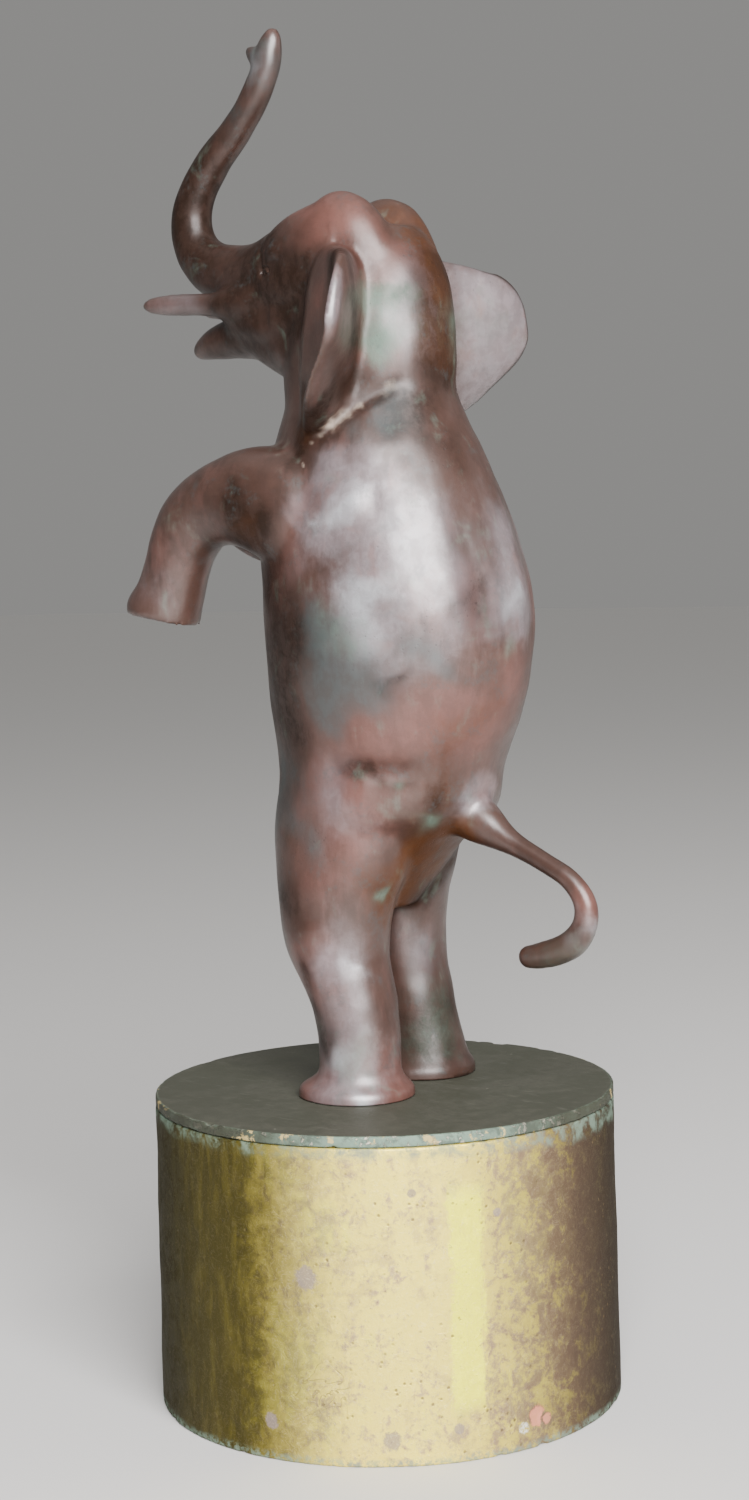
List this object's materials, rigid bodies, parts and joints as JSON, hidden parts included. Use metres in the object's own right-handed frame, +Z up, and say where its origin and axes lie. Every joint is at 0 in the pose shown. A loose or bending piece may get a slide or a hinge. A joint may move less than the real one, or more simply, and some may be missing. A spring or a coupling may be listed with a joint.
{
  "type": "rearing elephant sculpture on a round plinth",
  "caption": "Bronze elephant rearing on its hind legs with its trunk raised, on a round brass-faced plinth with a dark top plate.",
  "frame": {"origin": "centre of the plinth's underside", "axes": "+Z up through the plinth and the elephant; the elephant faces -Y, with its own left side at +X"},
  "size_m": [0.18, 0.2006, 0.5419],
  "materials": {
    "bronze": "satin reddish-brown bronze patina with grey-lavender highlights and a little verdigris",
    "dark_plate": "matt dark olive patina, green verdigris on its edge",
    "aged_brass": "aged yellow brass, mottled with brown tarnish, chipped and greened at the bottom rim"
  },
  "bodies": {
    "root": {"elephant": "bronze", "plinth_top_plate": "dark_plate", "plinth_drum": "aged_brass"}
  },
  "joints": []
}
